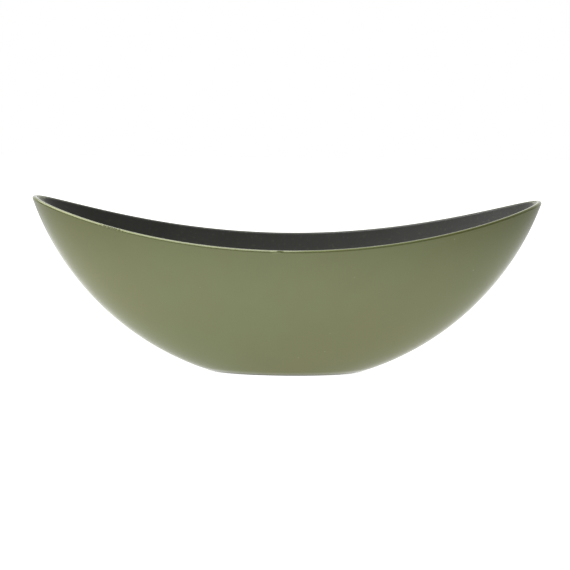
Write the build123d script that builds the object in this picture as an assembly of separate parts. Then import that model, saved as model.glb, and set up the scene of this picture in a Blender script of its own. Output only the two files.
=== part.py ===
from build123d import *
import os
from math import asin, atan2, cos, hypot, pi, radians, sin, sqrt, tan

# Boat-shaped planter bowl: a thin moulded shell with a coat of lacquer on its outside.
# Origin: centre of the flat oval that it stands on. X runs from tip to tip, Y across, Z up.
# All lengths are in millimetres.

# Overall sizes over the lacquer, to the sharp corners that the rim has before it is rounded
LENGTH = 392.0          # tip to tip
BEAM = 120.8            # across the rim at mid length
MID_HEIGHT = 102.1      # table to rim at mid length
TIP_HEIGHT = 136.4      # table to rim at the two tips

# The flat oval that the bowl stands on, and how steeply the hull leaves it
BASE_LENGTH = 118.0
BASE_WIDTH = 38.0
STEM_RISE = radians(17.3)    # slope of the hull at the ends of the base
SIDE_RISE = radians(58.0)    # slope of the hull at the sides of the base

# Moulded shell
WALL = 2.8              # hull wall, square to the surface
FLOOR = 3.2             # table to the inside floor
TIP_WALL = 5.0          # level thickness of the wall at each tip, at the rim
RIM_ROUND = 1.5         # rounding of the rim's outer edge, over the lacquer
RIM_FLAT = 0.4          # flat left on the rim's top at mid length, between its two roundings

# Underside
FOOT_WIDTH = 4.5        # flat ring that touches the table
FOOT_RECESS = 1.0       # depth of the hollow inside that ring
GATE_WIDTH = 6.0        # round mark in the hollow, where the mould was filled
GATE_HEIGHT = 0.5

# Lacquer
COAT = 0.3              # thickness of the coat
COAT_START = 0.6        # height of the coat's lower edge above the table
COAT_LAP = 0.2          # how far the coat runs over that flat, past the rounded edge
COAT_TIP = 3.8          # how far the coat runs in over the rim at each tip

SECTIONS = 14           # level ovals in each hull
OVERSHOOT = 8.0         # how far a hull runs on past the tips before the rim is cut


class Arc:
    """Round profile of the hull in an upright plane, from (out0, low) up to (out1, high)."""

    def __init__(self, out0, low, out1, high, rise):
        chord = hypot(out1 - out0, high - low)
        half_turn = atan2(high - low, out1 - out0) - rise
        self.radius = chord / 2 / sin(half_turn)
        self.out_centre = out0 - self.radius * sin(rise)
        self.up_centre = low + self.radius * cos(rise)

    def out_at(self, height, inset=0.0):
        """Distance from the bowl's middle at a height, on the profile moved inwards by inset."""
        radius = self.radius - inset
        return self.out_centre + sqrt(radius**2 - (height - self.up_centre)**2)

    def slope_at(self, height, inset=0.0):
        """Angle between the table and the moved profile at a height."""
        return pi / 2 - asin((self.up_centre - height) / (self.radius - inset))

    def height_at(self, slope, inset=0.0):
        """Height at which the moved profile has a slope."""
        return self.up_centre - (self.radius - inset) * cos(slope)


SKIN = WALL + COAT
OUTER_STEM = Arc(BASE_LENGTH / 2, 0, LENGTH / 2, TIP_HEIGHT, STEM_RISE)
OUTER_SIDE = Arc(BASE_WIDTH / 2, 0, BEAM / 2, MID_HEIGHT, SIDE_RISE)
SHEER = TIP_HEIGHT - MID_HEIGHT
RIM_RADIUS = ((LENGTH / 2)**2 + SHEER**2) / (2 * SHEER)
RIM_ANGLE = OUTER_SIDE.slope_at(MID_HEIGHT)
ROUNDED = RIM_ROUND / tan(RIM_ANGLE / 2)
INNER_ROUND = (SKIN / sin(RIM_ANGLE) - ROUNDED - RIM_FLAT) / tan(RIM_ANGLE / 2)


def hull(stem, stem_inset, side_inset, low):
    """Solid of stacked level ovals, from the height low to past the tips."""
    start = stem.slope_at(low, stem_inset)
    end = stem.slope_at(TIP_HEIGHT + OVERSHOOT, stem_inset)
    ovals = []
    for step in range(SECTIONS):
        slope = start + (end - start) * step / (SECTIONS - 1)
        height = stem.height_at(slope, stem_inset)
        half_length = stem.out_at(height, stem_inset)
        half_width = OUTER_SIDE.out_at(height, side_inset)
        ovals.append(Pos(0, 0, height) * Ellipse(half_length, half_width))
    return loft(ovals)


def inner_hull(tip_inset, side_inset):
    """Solid that stands on the inside floor, at chosen distances inside the tips and the sides."""
    low_end = OUTER_STEM.out_at(FLOOR, SKIN)
    rise = OUTER_STEM.slope_at(FLOOR, SKIN)
    stem = Arc(low_end, FLOOR, LENGTH / 2 - tip_inset, TIP_HEIGHT, rise)
    return hull(stem, 0, side_inset, FLOOR)


def above_rim(drop):
    """Roller over the bowl, which cuts the rim as a round arc from tip to tip, lowered by drop."""
    centre = Pos(0, 0, MID_HEIGHT + RIM_RADIUS)
    return centre * Rot(90, 0, 0) * Cylinder(RIM_RADIUS + drop, 2 * BEAM)


def rim_face(block):
    """The top face of the rim, which is the only one that the roller has cut."""
    return block.faces().filter_by(GeomType.CYLINDER)[0]


def filled_bowl(inset):
    """The bowl as one filled block, moved inwards by inset, with its rim edge rounded."""
    block = hull(OUTER_STEM, inset, inset, 0) - above_rim(inset)
    return fillet(rim_face(block).edges(), RIM_ROUND - inset)


def underside_hollow():
    half_length = OUTER_STEM.out_at(0, COAT) - FOOT_WIDTH
    half_width = OUTER_SIDE.out_at(0, COAT) - FOOT_WIDTH
    return extrude(Ellipse(half_length, half_width), FOOT_RECESS)


def gate_mark():
    return Pos(0, 0, FOOT_RECESS - GATE_HEIGHT) * extrude(Circle(GATE_WIDTH / 2), GATE_HEIGHT)


def bowl_shell():
    shell = filled_bowl(COAT) - inner_hull(TIP_WALL, SKIN)
    inner_edge = rim_face(shell).edges().sort_by(Edge.length)[0]
    shell = fillet(inner_edge, INNER_ROUND)
    return shell - underside_hollow() + gate_mark()


def lacquer_coat():
    skin = filled_bowl(0) - filled_bowl(COAT)
    bare_inside = inner_hull(COAT_TIP, (ROUNDED + COAT_LAP) * sin(RIM_ANGLE))
    bare_foot = Pos(0, 0, COAT_START / 2) * Box(LENGTH, BEAM, COAT_START)
    return skin - bare_inside - bare_foot


os.makedirs("parts", exist_ok=True)
export_step(bowl_shell(), "parts/bowl_shell.step")
export_step(lacquer_coat(), "parts/lacquer_coat.step")
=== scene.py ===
from math import radians

import bpy
import numpy as np
from bpy.props import FloatProperty, FloatVectorProperty, PointerProperty
from mathutils import Matrix, Vector


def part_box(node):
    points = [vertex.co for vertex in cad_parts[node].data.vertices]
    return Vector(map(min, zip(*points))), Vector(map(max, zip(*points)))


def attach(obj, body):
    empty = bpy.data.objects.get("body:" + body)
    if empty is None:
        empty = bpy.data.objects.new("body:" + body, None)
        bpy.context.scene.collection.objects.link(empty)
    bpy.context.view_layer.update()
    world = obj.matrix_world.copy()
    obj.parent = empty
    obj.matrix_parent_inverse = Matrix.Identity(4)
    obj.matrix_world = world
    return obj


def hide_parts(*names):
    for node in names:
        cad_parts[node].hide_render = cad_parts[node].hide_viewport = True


bl_info = {
    "name": "Boat-Shaped Planter Bowl",
    "version": (1, 0, 0),
    "blender": (4, 5, 0),
    "location": "View3D > Sidebar > Planter",
    "description": "Builds a lacquered boat-shaped planter bowl and a plain studio around it",
    "category": "Object",
}

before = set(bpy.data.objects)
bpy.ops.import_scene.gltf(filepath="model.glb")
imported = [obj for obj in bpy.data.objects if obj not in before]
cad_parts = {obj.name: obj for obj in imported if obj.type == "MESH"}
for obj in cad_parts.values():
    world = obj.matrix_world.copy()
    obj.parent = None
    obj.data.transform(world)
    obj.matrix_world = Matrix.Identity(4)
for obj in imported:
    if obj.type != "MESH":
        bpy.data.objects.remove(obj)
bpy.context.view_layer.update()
MM = 0.001
ALLOWED_DRIFT = 0.2 * MM    # between the box of a piece and the box of its part

# How finely the surfaces are drawn
SHELL_TURNS = 720           # points round each ring of the shell
COAT_TURNS = 1200           # points round each ring of the lacquer
SHELL_EDGE_RINGS = 6        # rings round the shell's outer rim edge
INNER_EDGE_RINGS = 7        # rings round the shell's inner rim edge
COAT_EDGE_RINGS = 8         # rings round the lacquer's rim edge
COAT_BACK_EDGE_RINGS = 4
SHELL_WALL_RINGS = 60
COAT_WALL_RINGS = 56
COAT_BACK_RINGS = 12
WALL_CROWDING = 1.6         # 1 is even spacing; more brings the rings closer together at the rim
COAT_BACK_CROWDING = 1.3
CORNER_PASSES = 40          # passes that bring a ring onto the rim
FLOOR_SHARES = (0.97, 0.9, 0.75, 0.5, 0.25)
HOLLOW_SHARES = (0.05, 0.3, 0.6, 0.9, 0.985)
MARK_SHARES = (0.5, 0.93)
FOOT_EDGE_SHARE = 1.01

# Fineness of the patterns in the materials, as waves or sites per metre
SPRAY_AND_HIGHLIGHT_FINENESS = 420
SCRATCH_FINENESS = 900
SHADE_FINENESS = 35
SWIRL_FINENESS = 260
MOULD_GRAIN_FINENESS = 2200
CLOUD_FINENESS = 14
GLOSS_FINENESS = 60
PEEL_FINENESS = 230
SPECK_FINENESS = 300

# Depth of the relief in the materials
SWIRL_DEPTH = 0.02 * MM
MOULD_GRAIN_DEPTH = 0.012 * MM
PEEL_DEPTH = 0.006 * MM
SPECK_DEPTH = 0.03 * MM
DRIP_DEPTH = 0.6 * MM
RIPPLE_DEPTH = 0.35 * MM

DRIP_HALF_WIDTH = 5 * MM
RIPPLE_HALF_WIDTH = 12 * MM
SPECK_SHARE = 0.012         # share of the sites that carry a speck
SPECK_SIZE = 0.13           # radius of a speck, as a share of the distance between sites
NOISE_SPAN = (0.3, 0.7)     # values that most of a noise pattern keeps to
# The lighter tint at the tips and just inside the rim is partly lacquer overspray and partly a painted
# highlight for the light the tips catch
SPRAY_AND_HIGHLIGHT_BREAKUP = 0.35          # how far the noise breaks up the edge of the overspray
SPRAY_AND_HIGHLIGHT_EDGE = (0.2, 0.95)
TIP_SPRAY_AND_HIGHLIGHT = (5 * MM, 12 * MM)
RIM_SPRAY_AND_HIGHLIGHT_REACH = 2 * MM
RIM_SPRAY_AND_HIGHLIGHT_SHARE = 0.15
SCRATCH_EDGE = (0.5, 0.72)
FOOT_WEAR = (0.05 * MM, 0.3 * MM)    # heights above the table between which the wear ends
DRIP_SPAN = (0.5 * MM, 2.5 * MM)     # distances under the rim between which the drip ends

# How the surfaces shine
PLASTIC_ROUGHNESS = (0.32, 0.4)
SCUFF_ROUGHNESS = 0.25
LACQUER_ROUGHNESS = (0.34, 0.4)
LACQUER_PEARL = 0.5
LACQUER_IOR = 1.5
CLEAR_COAT_ROUGHNESS = 0.06
FLOOR_ROUGHNESS = 0.9

# Where the parts of the room begin and end, as directions seen from the bowl
WALL_TURNS = (-0.7, 0.5)    # from the left wall to the right wall
PANEL_TURNS = (0.6, 0.9)    # towards the panel at the far right
DARK_TO_LIT = (0.1, 0.6)    # upwards, from the dark lower part to the lit walls
LOW_LIGHT = 0.05            # light of the dark lower part, as a share of the walls'
BACKDROP_TURNS = (0.0, 0.4)

SENSOR_WIDTH = 36           # millimetres


# ---------------------------------------------------------------- sizes and colours


class PLANTER_PG_hull(bpy.types.PropertyGroup):
    """Outside of the bowl over the lacquer, to the sharp corners under the rim's rounding."""

    length: FloatProperty(
        name="Length", description="Tip to tip", default=392 * MM, unit="LENGTH")
    beam: FloatProperty(
        name="Beam", description="Across the rim at mid length", default=120.8 * MM, unit="LENGTH")
    mid_height: FloatProperty(
        name="Middle height", description="Table to rim at mid length", default=102.1 * MM,
        unit="LENGTH")
    tip_height: FloatProperty(
        name="Tip height", description="Table to rim at the tips", default=136.4 * MM, unit="LENGTH")
    base_length: FloatProperty(
        name="Base length", description="Flat oval under the bowl", default=118 * MM, unit="LENGTH")
    base_width: FloatProperty(
        name="Base width", description="Flat oval under the bowl", default=38 * MM, unit="LENGTH")
    stem_rise: FloatProperty(
        name="End slope", description="Slope of the hull at the ends of its base",
        default=radians(17.3), subtype="ANGLE")
    side_rise: FloatProperty(
        name="Side slope", description="Slope of the hull at the sides of its base",
        default=radians(58), subtype="ANGLE")


class PLANTER_PG_shell(bpy.types.PropertyGroup):
    """Moulded shell under the lacquer."""

    wall: FloatProperty(
        name="Wall", description="Hull wall, square to the surface", default=2.8 * MM, unit="LENGTH")
    floor: FloatProperty(
        name="Floor", description="Table to the inside floor", default=3.2 * MM, unit="LENGTH")
    tip_wall: FloatProperty(
        name="Tip wall", description="Level thickness at each tip", default=5 * MM, unit="LENGTH")
    rim_round: FloatProperty(
        name="Outer rim round", description="Rounding over the lacquer", default=1.5 * MM,
        unit="LENGTH")
    rim_flat: FloatProperty(
        name="Rim flat", description="Left between the two roundings of the rim", default=0.4 * MM,
        unit="LENGTH")
    foot_width: FloatProperty(
        name="Foot ring", description="Flat ring on the table", default=4.5 * MM, unit="LENGTH")
    foot_recess: FloatProperty(
        name="Foot hollow", description="Depth inside the ring", default=1 * MM, unit="LENGTH")
    gate_width: FloatProperty(
        name="Mould mark", description="Round mark in the hollow", default=6 * MM, unit="LENGTH")
    gate_height: FloatProperty(
        name="Mould mark height", description="How far the mark stands down", default=0.5 * MM,
        unit="LENGTH")
    colour: FloatVectorProperty(
        name="Charcoal", description="Colour of the moulded plastic", subtype="COLOR",
        size=4, min=0, max=1, default=(0.031, 0.0325, 0.0265, 1))
    # Lighter and greyer than the lacquer: this colour is partly overspray and partly a painted
    # highlight on the tips
    spray_and_highlight_colour: FloatVectorProperty(
        name="Overspray", description="Colour of the plastic where a mist of lacquer has settled",
        subtype="COLOR", size=4, min=0, max=1, default=(0.17, 0.185, 0.12, 1))
    # The shorter reach at the right tip trims the painted highlight there as well as the overspray
    spray_and_highlight_lean: FloatProperty(
        name="Overspray lean", description="How much shorter the mist reaches at the right tip",
        default=1.4)
    scuff_colour: FloatVectorProperty(
        name="Scuffs", description="Colour of the scratches on the foot ring",
        subtype="COLOR", size=4, min=0, max=1, default=(0.09, 0.09, 0.085, 1))


class PLANTER_PG_coat(bpy.types.PropertyGroup):
    """Sprayed lacquer."""

    thickness: FloatProperty(
        name="Thickness", description="Lacquer over the plastic", default=0.3 * MM, unit="LENGTH")
    start: FloatProperty(
        name="Lower edge", description="Height above the table", default=0.6 * MM, unit="LENGTH")
    lap: FloatProperty(
        name="Rim lap", description="Reach over the rim's flat top", default=0.2 * MM, unit="LENGTH")
    tip_lap: FloatProperty(
        name="Tip lap", description="Reach in over the rim at each tip", default=3.8 * MM,
        unit="LENGTH")
    colour: FloatVectorProperty(
        name="Sage green", description="Colour of the lacquer", subtype="COLOR",
        size=4, min=0, max=1, default=(0.114, 0.133, 0.036, 1))
    warm_colour: FloatVectorProperty(
        name="Warm olive", description="Colour of the lacquer's darker clouds", subtype="COLOR",
        size=4, min=0, max=1, default=(0.12, 0.127, 0.031, 1))
    speck_colour: FloatVectorProperty(
        name="Specks", description="Colour of the dust caught in the lacquer", subtype="COLOR",
        size=4, min=0, max=1, default=(0.24, 0.25, 0.17, 1))
    drip_place: FloatProperty(
        name="Drip", description="Where a drip hangs under the rim, from mid length",
        default=-7 * MM, unit="LENGTH")
    ripple_place: FloatProperty(
        name="Ripples", description="Where the rim's lacquer is rippled, from mid length",
        default=-129 * MM, unit="LENGTH")
    ripple_spacing: FloatProperty(
        name="Ripple spacing", description="Crest to crest", default=2.2 * MM, unit="LENGTH")


class PLANTER_PG_studio(bpy.types.PropertyGroup):
    """Camera, floor and lights."""

    camera_distance: FloatProperty(
        name="Camera distance", description="Camera to its target", default=1.0, unit="LENGTH")
    camera_height_angle: FloatProperty(
        name="Camera angle", description="How far the camera looks down", default=radians(8.75),
        subtype="ANGLE")
    camera_roll: FloatProperty(
        name="Camera roll", description="Turn about the line of sight", default=radians(0.63),
        subtype="ANGLE")
    lens: FloatProperty(
        name="Lens", description="Focal length on a 36 mm sensor, in millimetres", default=81.42)
    target: FloatVectorProperty(
        name="Target", description="Point that the camera looks at", subtype="TRANSLATION", size=3,
        default=(-0.8 * MM, 0, 67.8 * MM))
    floor_colour: FloatVectorProperty(
        name="Floor", description="Colour of the floor", subtype="COLOR",
        size=4, min=0, max=1, default=(0.3, 0.3, 0.3, 1))
    floor_width: FloatProperty(
        name="Floor width", description="Side of the square floor", default=6.0, unit="LENGTH")
    glow_centre: FloatVectorProperty(
        name="Glow centre", description="Brightest place of the light table", subtype="TRANSLATION",
        size=3, default=(-0.04, 0.1, 0))
    glow_reach: FloatVectorProperty(
        name="Glow reach", description="Where the glow starts to fade, and where it has faded",
        size=2, default=(0.2, 0.6))
    glow_rest: FloatProperty(
        name="Faded glow", description="Light that the floor gives far from the bowl", default=0.2)
    floor_glow: FloatProperty(
        name="Floor glow", description="Light that the floor gives by itself", default=1.0)
    backdrop: FloatProperty(
        name="Backdrop", description="Brightness behind the bowl", default=1.05)
    left_wall: FloatProperty(
        name="Left wall", description="Brightness of the room on the left", default=1.4)
    right_wall: FloatProperty(
        name="Right wall", description="Brightness of the room on the right", default=0.15)
    right_panel: FloatProperty(
        name="Right panel", description="Brightness of a white panel at the far right", default=0.9)
    softbox_power: FloatProperty(
        name="Softbox", description="Power of the soft light overhead", default=30.0, unit="POWER")
    softbox_size: FloatVectorProperty(
        name="Softbox size", description="Width and depth of the soft light", size=2,
        default=(1.6, 2.0))
    softbox_place: FloatVectorProperty(
        name="Softbox place", description="Middle of the soft light", subtype="TRANSLATION", size=3,
        default=(-0.78, -0.4, 1.2))


# ---------------------------------------------------------------- shape of the bowl


class Arc:
    """Round profile of the hull in an upright plane, from (out0, low) up to (out1, high)."""

    def __init__(self, out0, low, out1, high, rise):
        chord = np.hypot(out1 - out0, high - low)
        half_turn = np.arctan2(high - low, out1 - out0) - rise
        self.radius = chord / 2 / np.sin(half_turn)
        self.out_centre = out0 - self.radius * np.sin(rise)
        self.up_centre = low + self.radius * np.cos(rise)

    def out_at(self, height, inset=0.0):
        radius = self.radius - inset
        return self.out_centre + np.sqrt(radius**2 - (height - self.up_centre)**2)

    def slope_at(self, height, inset=0.0):
        return np.pi / 2 - np.arcsin((self.up_centre - height) / (self.radius - inset))


class Hull:
    """Stack of level ovals between an end profile and a side profile, both moved inwards."""

    def __init__(self, stem, side, stem_inset=0.0, side_inset=0.0):
        self.stem = stem
        self.side = side
        self.stem_inset = stem_inset
        self.side_inset = side_inset

    def halves(self, height):
        """Half length and half width of the oval at a height."""
        return self.stem.out_at(height, self.stem_inset), self.side.out_at(height, self.side_inset)

    def point(self, turn, height):
        half_length, half_width = self.halves(height)
        return np.stack(
            np.broadcast_arrays(half_length * np.cos(turn), half_width * np.sin(turn), height), -1)

    def normal(self, turn, height):
        """Outward normal of the hull."""
        half_length, half_width = self.halves(height)
        stem_lean = 1 / np.tan(self.stem.slope_at(height, self.stem_inset))
        side_lean = 1 / np.tan(self.side.slope_at(height, self.side_inset))
        across = np.cos(turn) / half_length
        along = np.sin(turn) / half_width
        lean = -(np.cos(turn)**2 * stem_lean / half_length + np.sin(turn)**2 * side_lean / half_width)
        return unit(np.stack(np.broadcast_arrays(across, along, lean), -1))

    def turn_of(self, points):
        """Position round the oval of points on the hull."""
        half_length, half_width = self.halves(points[..., 2])
        return np.arctan2(points[..., 1] / half_width, points[..., 0] / half_length)


def unit(vectors):
    return vectors / np.linalg.norm(vectors, axis=-1, keepdims=True)


class Bowl:
    """The bowl's surfaces, worked out from the sizes in the sidebar."""

    def __init__(self, scene):
        hull, shell, coat = scene.planter_hull, scene.planter_shell, scene.planter_coat
        self.hull, self.shell, self.coat = hull, shell, coat
        self.stem = Arc(hull.base_length / 2, 0, hull.length / 2, hull.tip_height, hull.stem_rise)
        self.side = Arc(hull.base_width / 2, 0, hull.beam / 2, hull.mid_height, hull.side_rise)
        self.skin = shell.wall + coat.thickness
        sheer = hull.tip_height - hull.mid_height
        self.rim_radius = ((hull.length / 2)**2 + sheer**2) / (2 * sheer)
        self.cavity = self.inner_hull(shell.tip_wall, self.skin)
        self.rim_angle = self.side.slope_at(hull.mid_height)
        self.rounded = shell.rim_round / np.tan(self.rim_angle / 2)
        flat_and_inner = self.skin / np.sin(self.rim_angle) - self.rounded
        self.inner_round = (flat_and_inner - shell.rim_flat) / np.tan(self.rim_angle / 2)

    def outer_hull(self, inset):
        return Hull(self.stem, self.side, inset, inset)

    def inner_hull(self, tip_inset, side_inset):
        """Hull that stands on the inside floor."""
        low = self.shell.floor
        end = self.stem.out_at(low, self.skin)
        rise = self.stem.slope_at(low, self.skin)
        stem = Arc(end, low, self.hull.length / 2 - tip_inset, self.hull.tip_height, rise)
        return Hull(stem, self.side, 0.0, side_inset)

    def rim_height(self, along, drop=0.0):
        """Height of the rim, a round arc from tip to tip, moved down by drop."""
        centre = self.hull.mid_height + self.rim_radius
        return centre - np.sqrt((self.rim_radius + drop)**2 - along**2)

    def rim_normal(self, along):
        lean = along / self.rim_radius
        return np.stack([-lean, np.zeros_like(along), np.sqrt(1 - lean**2)], -1)

    def rim_corner(self, hull, turn, drop):
        """Where a hull meets the rim's top, moved down by drop."""
        height = np.full_like(turn, self.hull.mid_height)
        for _ in range(CORNER_PASSES):
            height = self.rim_height(hull.halves(height)[0] * np.cos(turn), drop)
        return hull.point(turn, height)

    def rounded_edge(self, hull, turn, drop, radius, steps, inwards=False):
        """Rings round the corner between a hull and the rim's top, from the wall to the top."""
        corner = self.rim_corner(hull, turn, drop)
        wall = hull.normal(turn, corner[:, 2])
        if inwards:
            wall = -wall
        top = self.rim_normal(corner[:, 0])
        cosine = np.sum(wall * top, -1, keepdims=True)
        centre = corner - radius * (wall + top) / (1 + cosine)
        angle = np.arccos(cosine)
        rings = []
        for share in np.linspace(0, 1, steps):
            normal = (np.sin((1 - share) * angle) * wall + np.sin(share * angle) * top) / np.sin(angle)
            rings.append(centre + radius * normal)
        return rings


def even_turns(count):
    return np.linspace(0, 2 * np.pi, count, endpoint=False)


def rising_shares(count, power):
    """Shares from 0 to 1, packed closer together towards 1."""
    return 1 - (1 - np.linspace(0, 1, count))**power


def wall_rings(hull, top_ring, low, shares):
    """Rings on a hull from the height low up to, but without, a ring that lies on it."""
    turn = hull.turn_of(top_ring)
    return [hull.point(turn, low + (top_ring[:, 2] - low) * share) for share in shares[:-1]]


def flat_rings(ring, level, shares):
    """Rings that shrink from a ring towards the middle of a level floor."""
    rings = []
    for share in shares:
        inner = ring * [share, share, 0]
        inner[:, 2] = level
        rings.append(inner)
    return rings


def new_object(name, vertices, faces):
    mesh = bpy.data.meshes.new(name)
    mesh.from_pydata(vertices, [], faces)
    mesh.validate()
    mesh.shade_smooth()
    made = bpy.data.objects.new(name, mesh)
    bpy.context.scene.collection.objects.link(made)
    return made


def skin_rings(name, rings, loop=False):
    """Closed surface over a list of rings. Its two ends are either capped or joined."""
    count = len(rings[0])
    vertices = np.concatenate(rings)
    here = np.arange(count)
    beside = (here + 1) % count
    faces = []
    spans = len(rings) if loop else len(rings) - 1
    for low in range(spans):
        high = (low + 1) % len(rings)
        quads = np.stack([
            low * count + here, low * count + beside, high * count + beside, high * count + here], -1)
        faces += quads.tolist()
    if not loop:
        start, end = len(vertices), len(vertices) + 1
        vertices = np.concatenate([vertices, [rings[0].mean(0)], [rings[-1].mean(0)]])
        last = (len(rings) - 1) * count
        faces += np.stack([beside, here, np.full(count, start)], -1).tolist()
        faces += np.stack([last + here, last + beside, np.full(count, end)], -1).tolist()
    return new_object(name, vertices.tolist(), faces)


def add_float(piece, name, values):
    """Named number on every vertex, which the material reads."""
    attribute = piece.data.attributes.new(name, "FLOAT", "POINT")
    attribute.data.foreach_set("value", np.asarray(values, np.float32))


def vertex_array(piece):
    flat = np.empty(len(piece.data.vertices) * 3)
    piece.data.vertices.foreach_get("co", flat)
    return flat.reshape(-1, 3)


def hand_over(piece, part):
    """Puts a finished piece in the place of a part, once its box is seen to agree with the part's."""
    points = vertex_array(piece)
    drift = np.abs(np.array([points.min(0), points.max(0)]) - np.array(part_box(part))).max()
    if drift > ALLOWED_DRIFT:
        raise ValueError(f"{piece.name} is {drift / MM:.2f} mm away from the box of {part}")
    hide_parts(part)
    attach(piece, "root")


# ---------------------------------------------------------------- materials


class Graph:
    """Short calls that add nodes to a node tree and join them."""

    def __init__(self, tree):
        self.tree = tree

    def add(self, kind, **settings):
        node = self.tree.nodes.new("ShaderNode" + kind)
        for name, value in settings.items():
            setattr(node, name, value)
        return node

    def link(self, source, socket):
        """Joins a socket, or sets a plain value."""
        if isinstance(source, bpy.types.NodeSocket):
            self.tree.links.new(source, socket)
        else:
            socket.default_value = source

    def coordinates(self, kind="Object"):
        return self.add("TexCoord").outputs[kind]

    def split(self, vector):
        node = self.add("SeparateXYZ")
        self.link(vector, node.inputs["Vector"])
        return node.outputs["X"], node.outputs["Y"], node.outputs["Z"]

    def attribute(self, name):
        return self.add("Attribute", attribute_name=name).outputs["Fac"]

    def math(self, operation, first, second=0.0):
        node = self.add("Math", operation=operation)
        self.link(first, node.inputs[0])
        self.link(second, node.inputs[1])
        return node.outputs["Value"]

    def ramp(self, value, low, high, to_low=0.0, to_high=1.0):
        """Smooth step from to_low to to_high while the value goes from low to high."""
        node = self.add("MapRange", interpolation_type="SMOOTHSTEP")
        self.link(value, node.inputs["Value"])
        self.link(low, node.inputs["From Min"])
        self.link(high, node.inputs["From Max"])
        self.link(to_low, node.inputs["To Min"])
        self.link(to_high, node.inputs["To Max"])
        return node.outputs["Result"]

    def blend(self, share, first, second):
        node = self.add("Mix", data_type="FLOAT")
        for name, source in (("Factor", share), ("A", first), ("B", second)):
            self.link(source, node.inputs[name])
        return node.outputs["Result"]

    def tint(self, share, first, second):
        node = self.add("Mix", data_type="RGBA")
        sockets = {socket.identifier: socket for socket in node.inputs}
        for name, source in (("Factor_Float", share), ("A_Color", first), ("B_Color", second)):
            self.link(source, sockets[name])
        return next(socket for socket in node.outputs if socket.identifier == "Result_Color")

    def noise(self, scale, detail=2.0, vector=None):
        node = self.add("TexNoise")
        node.inputs["Scale"].default_value = scale
        node.inputs["Detail"].default_value = detail
        self.link(vector or self.coordinates(), node.inputs["Vector"])
        return node.outputs["Fac"]

    def band(self, value, middle, half):
        """Soft hump that is 1 in the middle and 0 beyond half a width on both sides."""
        away = self.math("ABSOLUTE", self.math("SUBTRACT", value, middle))
        return self.ramp(away, 0.0, half, 1.0, 0.0)

    def specks(self, scale, share, size):
        """Sparse dots: scale is how many sites there are per metre, share how many carry a dot."""
        node = self.add("TexVoronoi", feature="F1")
        node.inputs["Scale"].default_value = scale
        self.link(self.coordinates(), node.inputs["Vector"])
        chosen = self.math("GREATER_THAN", self.split(node.outputs["Color"])[0], 1 - share)
        dot = self.ramp(node.outputs["Distance"], 0.5 * size, size, 1.0, 0.0)
        return self.math("MULTIPLY", chosen, dot)

    def bump(self, height, depth, below=None):
        """Surface relief: height from 0 to 1 over a depth in metres."""
        node = self.add("Bump")
        node.inputs["Distance"].default_value = depth
        self.link(height, node.inputs["Height"])
        if below:
            self.link(below, node.inputs["Normal"])
        return node.outputs["Normal"]


class Material(Graph):
    """Principled material under construction."""

    def __init__(self, name):
        self.made = bpy.data.materials.new(name)
        self.made.use_nodes = True
        super().__init__(self.made.node_tree)

    def set(self, name, source):
        self.link(source, self.tree.nodes["Principled BSDF"].inputs[name])


def charcoal_plastic(shell):
    """Satin moulded plastic: mould grain, green overspray with a painted highlight at the tips and
    just inside the rim, and a scuffed foot ring.
    """
    material = Material("charcoal_plastic")
    # Mask of the lighter tint at the tips and just inside the rim: lacquer overspray and painted
    # highlight together
    spray_and_highlight_spread = material.ramp(material.noise(SPRAY_AND_HIGHLIGHT_FINENESS, 5), *NOISE_SPAN, -SPRAY_AND_HIGHLIGHT_BREAKUP, SPRAY_AND_HIGHLIGHT_BREAKUP)
    near_tip = material.ramp(material.attribute("from_tip"), *TIP_SPRAY_AND_HIGHLIGHT, 1.0, 0.0)
    near_rim = material.ramp(
        material.attribute("below_rim"), 0.0, RIM_SPRAY_AND_HIGHLIGHT_REACH, RIM_SPRAY_AND_HIGHLIGHT_SHARE, 0.0)
    reach = material.math("ADD", near_tip, near_rim)
    spray_and_highlight = material.ramp(material.math("ADD", reach, spray_and_highlight_spread), *SPRAY_AND_HIGHLIGHT_EDGE)
    plastic = material.tint(spray_and_highlight, shell.colour, shell.spray_and_highlight_colour)
    height = material.split(material.coordinates())[2]
    scratches = material.ramp(material.noise(SCRATCH_FINENESS, 6), *SCRATCH_EDGE)
    worn = material.math("MULTIPLY", material.ramp(height, *FOOT_WEAR, 1.0, 0.0), scratches)
    material.set("Base Color", material.tint(worn, plastic, shell.scuff_colour))
    shade = material.ramp(material.noise(SHADE_FINENESS, 3), *NOISE_SPAN, *PLASTIC_ROUGHNESS)
    scuffed = material.math("MULTIPLY", worn, SCUFF_ROUGHNESS)
    material.set("Roughness", material.math("ADD", shade, scuffed))
    relief = material.bump(material.noise(SWIRL_FINENESS), SWIRL_DEPTH)
    relief = material.bump(material.noise(MOULD_GRAIN_FINENESS, 3), MOULD_GRAIN_DEPTH, relief)
    material.set("Normal", relief)
    return material.made


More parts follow.
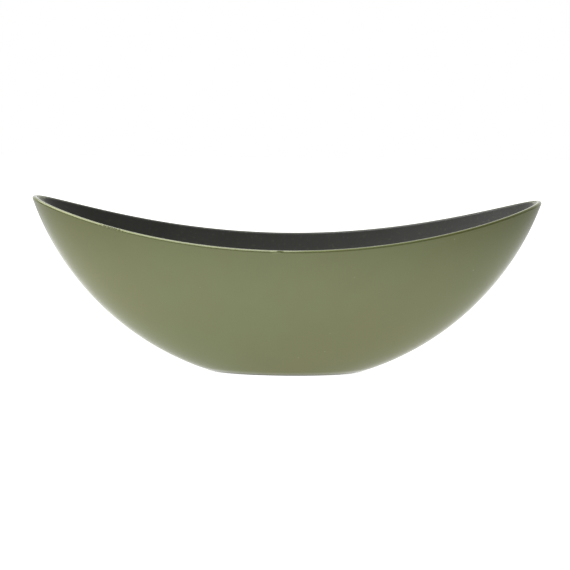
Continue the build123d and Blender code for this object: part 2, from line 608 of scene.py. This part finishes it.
def sage_lacquer(coat):
    """Glossy sprayed lacquer: faint clouding, orange peel, dust specks and a drip at the rim."""
    material = Material("sage_lacquer")
    cloud = material.ramp(material.noise(CLOUD_FINENESS, 3), *NOISE_SPAN)
    body = material.tint(cloud, coat.colour, coat.warm_colour)
    specks = material.specks(SPECK_FINENESS, SPECK_SHARE, SPECK_SIZE)
    material.set("Base Color", material.tint(specks, body, coat.speck_colour))
    gloss = material.ramp(material.noise(GLOSS_FINENESS, 3), *NOISE_SPAN, *LACQUER_ROUGHNESS)
    material.set("Roughness", gloss)
    material.set("Metallic", LACQUER_PEARL)
    material.set("Coat Weight", 1.0)
    material.set("Coat Roughness", CLEAR_COAT_ROUGHNESS)
    material.set("IOR", LACQUER_IOR)
    across, along, up = material.split(material.coordinates())
    front = material.math("LESS_THAN", along, 0.0)
    under_rim = material.ramp(material.attribute("below_rim"), *DRIP_SPAN, 1.0, 0.0)
    edge = material.math("MULTIPLY", front, under_rim)
    drip = material.math("MULTIPLY", edge, material.band(across, coat.drip_place, DRIP_HALF_WIDTH))
    slanted = material.math("ADD", across, up)
    wave = material.math("SINE", material.math("MULTIPLY", slanted, 2 * np.pi / coat.ripple_spacing))
    rippled = material.band(across, coat.ripple_place, RIPPLE_HALF_WIDTH)
    ripples = material.math("MULTIPLY", edge, material.math("MULTIPLY", wave, rippled))
    relief = material.bump(material.noise(PEEL_FINENESS), PEEL_DEPTH)
    relief = material.bump(specks, SPECK_DEPTH, relief)
    relief = material.bump(drip, DRIP_DEPTH, relief)
    relief = material.bump(ripples, RIPPLE_DEPTH, relief)
    material.set("Normal", relief)
    material.set("Coat Normal", relief)
    return material.made


# ---------------------------------------------------------------- operators


class PLANTER_OT_moulded_shell(bpy.types.Operator):
    """Charcoal shell with its rim, inside, foot ring and mould mark"""

    bl_idname = "planter.moulded_shell"
    bl_label = "Moulded Shell"

    def execute(self, context):
        bowl = Bowl(context.scene)
        shell, coat = bowl.shell, bowl.coat
        turn = even_turns(SHELL_TURNS)
        outer = bowl.outer_hull(coat.thickness)
        outer_edge = bowl.rounded_edge(
            outer, turn, coat.thickness, shell.rim_round - coat.thickness, SHELL_EDGE_RINGS)
        inner_edge = bowl.rounded_edge(
            bowl.cavity, turn, coat.thickness, bowl.inner_round, INNER_EDGE_RINGS, inwards=True)
        shares = rising_shares(SHELL_WALL_RINGS, WALL_CROWDING)
        outside = wall_rings(outer, outer_edge[0], 0.0, shares)
        inside = wall_rings(bowl.cavity, inner_edge[0], shell.floor, shares)
        rings = self.underside(bowl, outside[0]) + outside + outer_edge
        rings += inner_edge[::-1] + inside[::-1]
        rings += flat_rings(inside[0], shell.floor, FLOOR_SHARES)
        piece = skin_rings("moulded_shell", rings)
        points = vertex_array(piece)
        add_float(piece, "below_rim", bowl.rim_height(points[:, 0]) - points[:, 2])
        # The lighter tint, overspray and painted highlight together, reaches less far in from the
        # right tip
        spray_and_highlight_spread = np.where(points[:, 0] > 0, shell.spray_and_highlight_lean, 1.0)
        add_float(piece, "from_tip", spray_and_highlight_spread * (bowl.hull.length / 2 - np.abs(points[:, 0])))
        piece.data.materials.append(charcoal_plastic(shell))
        hand_over(piece, "bowl_shell")
        return {"FINISHED"}

    def underside(self, bowl, foot_edge):
        """Rings from the mould mark out over the hollow to the foot ring's outer edge."""
        shell = bowl.shell
        half_length, half_width = np.abs(foot_edge).max(0)[:2] - shell.foot_width
        turn = even_turns(len(foot_edge))
        oval = np.stack([half_length * np.cos(turn), half_width * np.sin(turn), 0 * turn], -1)
        circle = np.stack([np.cos(turn), np.sin(turn), 0 * turn], -1) * shell.gate_width / 2
        down = [0, 0, shell.foot_recess]
        mark = [0, 0, shell.foot_recess - shell.gate_height]
        rings = [circle * share + mark for share in MARK_SHARES]
        rings += [circle + mark, circle + down]
        rings += [circle * (1 - share) + oval * share + down for share in HOLLOW_SHARES]
        rings += [oval + down, oval, oval * FOOT_EDGE_SHARE]
        return rings


class PLANTER_OT_lacquer_coat(bpy.types.Operator):
    """Sage-green lacquer on the outside and over the rim"""

    bl_idname = "planter.lacquer_coat"
    bl_label = "Lacquer Coat"

    def execute(self, context):
        bowl = Bowl(context.scene)
        shell, coat = bowl.shell, bowl.coat
        turn = even_turns(COAT_TURNS)
        outer = bowl.outer_hull(0.0)
        under = bowl.outer_hull(coat.thickness)
        outer_edge = bowl.rounded_edge(outer, turn, 0.0, shell.rim_round, COAT_EDGE_RINGS)
        under_edge = bowl.rounded_edge(
            under, turn, coat.thickness, shell.rim_round - coat.thickness, COAT_BACK_EDGE_RINGS)
        covered = (bowl.rounded + coat.lap) * np.sin(bowl.rim_angle)
        end_hull = bowl.inner_hull(coat.tip_lap, covered)
        top_end = bowl.rim_corner(end_hull, turn, 0.0)
        low_end = bowl.rim_corner(end_hull, turn, coat.thickness)
        outside = wall_rings(
            outer, outer_edge[0], coat.start, rising_shares(COAT_WALL_RINGS, WALL_CROWDING))
        backside = wall_rings(
            under, under_edge[0], coat.start, rising_shares(COAT_BACK_RINGS, COAT_BACK_CROWDING))
        rings = outside + outer_edge + [top_end, low_end] + under_edge[::-1] + backside[::-1]
        piece = skin_rings("sage_lacquer", rings, loop=True)
        points = vertex_array(piece)
        add_float(piece, "below_rim", bowl.rim_height(points[:, 0]) - points[:, 2])
        piece.data.materials.append(sage_lacquer(coat))
        hand_over(piece, "lacquer_coat")
        return {"FINISHED"}


class PLANTER_OT_studio(bpy.types.Operator):
    """Camera, pale floor and soft lights"""

    bl_idname = "planter.studio"
    bl_label = "Studio"

    def execute(self, context):
        studio = context.scene.planter_studio
        self.camera(context, studio)
        self.floor(studio)
        self.softbox(context, studio)
        context.scene.world = self.air(studio)
        context.scene.view_settings.view_transform = "Standard"
        return {"FINISHED"}

    def camera(self, context, studio):
        data = bpy.data.cameras.new("camera")
        data.lens = studio.lens
        data.sensor_width = SENSOR_WIDTH
        made = bpy.data.objects.new("camera", data)
        angle = studio.camera_height_angle
        away = Vector((0, -np.cos(angle), np.sin(angle))) * studio.camera_distance
        tilt = Matrix.Rotation(radians(90) - angle, 4, "X")
        roll = Matrix.Rotation(studio.camera_roll, 4, "Z")
        made.matrix_world = Matrix.Translation(Vector(studio.target) + away) @ (tilt @ roll)
        context.scene.collection.objects.link(made)
        context.scene.camera = made

    def floor(self, studio):
        """Light table: a pale sheet that also glows, so that it shows almost no shadow."""
        half = studio.floor_width / 2
        corners = [(-half, -half, 0), (half, -half, 0), (half, half, 0), (-half, half, 0)]
        made = new_object("floor", corners, [(0, 1, 2, 3)])
        material = Material("light_table")
        material.set("Base Color", studio.floor_colour)
        material.set("Roughness", FLOOR_ROUGHNESS)
        material.set("Emission Color", (1, 1, 1, 1))
        away = material.add("VectorMath", operation="DISTANCE")
        material.link(material.coordinates(), away.inputs[0])
        away.inputs[1].default_value = studio.glow_centre
        glow = material.ramp(
            away.outputs["Value"], *studio.glow_reach, studio.floor_glow, studio.glow_rest)
        seen = material.add("LightPath").outputs["Is Camera Ray"]
        material.set("Emission Strength", material.blend(seen, glow, studio.floor_glow))
        made.data.materials.append(material.made)

    def softbox(self, context, studio):
        data = bpy.data.lights.new("softbox", "AREA")
        data.shape = "RECTANGLE"
        data.size, data.size_y = studio.softbox_size
        data.energy = studio.softbox_power
        made = bpy.data.objects.new("softbox", data)
        made.location = studio.softbox_place
        context.scene.collection.objects.link(made)

    def air(self, studio):
        """White backdrop behind the bowl, and in front of it a room that is brighter on the left."""
        world = bpy.data.worlds.new("studio_air")
        world.use_nodes = True
        graph = Graph(world.node_tree)
        across, along, up = graph.split(graph.coordinates("Generated"))
        wall = graph.ramp(across, *WALL_TURNS, studio.left_wall, studio.right_wall)
        wall = graph.math("ADD", wall, graph.ramp(across, *PANEL_TURNS, 0.0, studio.right_panel))
        room = graph.math("MULTIPLY", wall, graph.ramp(up, *DARK_TO_LIT, LOW_LIGHT, 1.0))
        around = graph.blend(graph.ramp(along, *BACKDROP_TURNS), room, studio.backdrop)
        seen = graph.add("LightPath").outputs["Is Camera Ray"]
        background = world.node_tree.nodes["Background"]
        background.inputs["Color"].default_value = (1, 1, 1, 1)
        graph.link(graph.blend(seen, around, 1.0), background.inputs["Strength"])
        return world


class PLANTER_PT_sidebar(bpy.types.Panel):
    """Sizes, colours and steps of the planter bowl"""

    bl_idname = "PLANTER_PT_sidebar"
    bl_label = "Planter Bowl"
    bl_space_type = "VIEW_3D"
    bl_region_type = "UI"
    bl_category = "Planter"

    def draw(self, context):
        for group in GROUPS:
            settings = getattr(context.scene, group)
            box = self.layout.box()
            for name in settings.bl_rna.properties.keys():
                if name not in ("rna_type", "name"):
                    box.prop(settings, name)
        for operator in STEPS:
            self.layout.operator(operator.bl_idname)


GROUPS = {
    "planter_hull": PLANTER_PG_hull,
    "planter_shell": PLANTER_PG_shell,
    "planter_coat": PLANTER_PG_coat,
    "planter_studio": PLANTER_PG_studio,
}
STEPS = (PLANTER_OT_studio, PLANTER_OT_moulded_shell, PLANTER_OT_lacquer_coat)


def register():
    for made in (*GROUPS.values(), *STEPS, PLANTER_PT_sidebar):
        bpy.utils.register_class(made)
    for name, group in GROUPS.items():
        setattr(bpy.types.Scene, name, PointerProperty(type=group))


def unregister():
    for name in GROUPS:
        delattr(bpy.types.Scene, name)
    for made in (PLANTER_PT_sidebar, *STEPS, *GROUPS.values()):
        bpy.utils.unregister_class(made)


def main():
    register()
    bpy.ops.planter.studio()
    bpy.ops.planter.moulded_shell()
    bpy.ops.planter.lacquer_coat()


if __name__ == "__main__":
    main()
